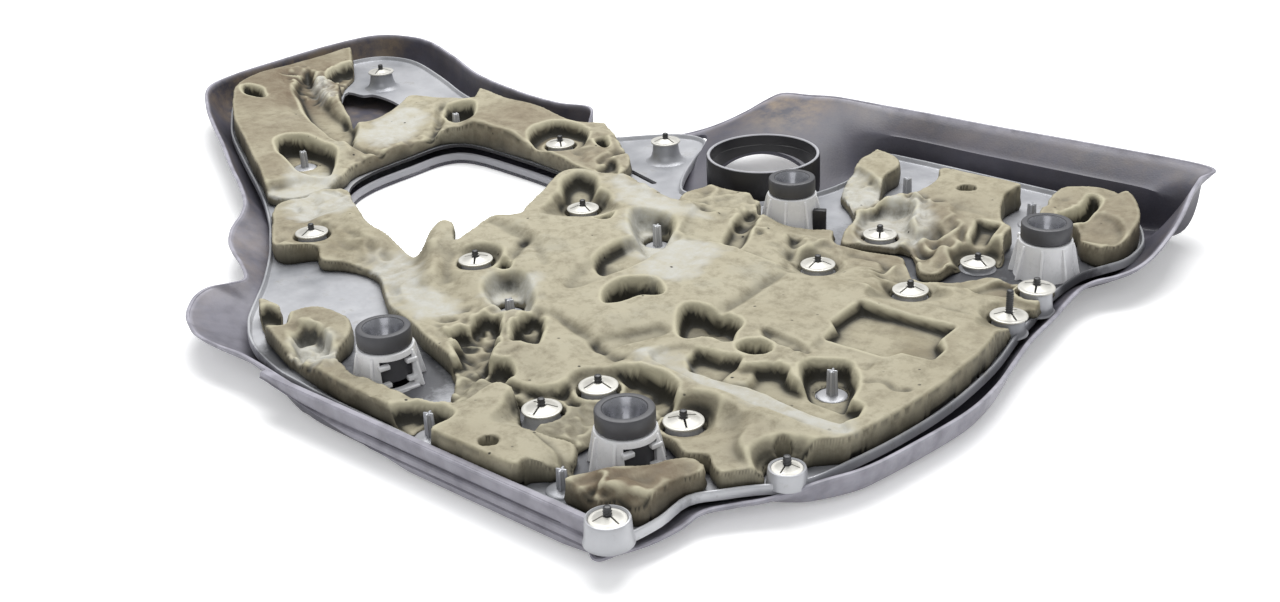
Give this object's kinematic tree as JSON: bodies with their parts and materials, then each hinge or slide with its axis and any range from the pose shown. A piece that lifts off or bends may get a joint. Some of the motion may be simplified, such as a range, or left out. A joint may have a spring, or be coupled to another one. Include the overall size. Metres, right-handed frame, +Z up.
{
  "type": "engine cover",
  "caption": "Moulded engine cover shown underside up, with a carrier plate, sound-deadening foam, push nuts, rubber ball-stud mounts and a filler collar.",
  "frame": {"origin": "the middle of the cover's outline box, on the plane of the outer face it lies on", "axes": "+X along the straight side rail towards the bowed front edge, the cover's longest way; +Y across from the rail to the raised wing; +Z up, out of the underside"},
  "size_m": [0.7291, 0.4978, 0.045],
  "materials": {
    "cover_plastic": "fine-grained dark grey moulding with a purple tinge, dusty at the arm",
    "plate_plastic": "smooth silver-grey moulding",
    "collar_plastic": "black moulding with a pale worn rim",
    "rubber": "dark rubber, polished in the funnels",
    "nut_metal": "bright plated spring steel",
    "foam": "heat-formed acoustic foam, khaki, stained and torn in places"
  },
  "bodies": {
    "root": {"outer_cover": "cover_plastic", "carrier_plate": "plate_plastic", "filler_collar": "collar_plastic", "rubber_mount_1": "rubber", "rubber_mount_2": "rubber", "rubber_mount_3": "rubber", "rubber_mount_4": "rubber", "push_nuts": "nut_metal", "foam_arm": "foam", "foam_centre": "foam", "foam_side_strip": "foam", "foam_wing": "foam", "foam_corner": "foam"}
  },
  "joints": []
}
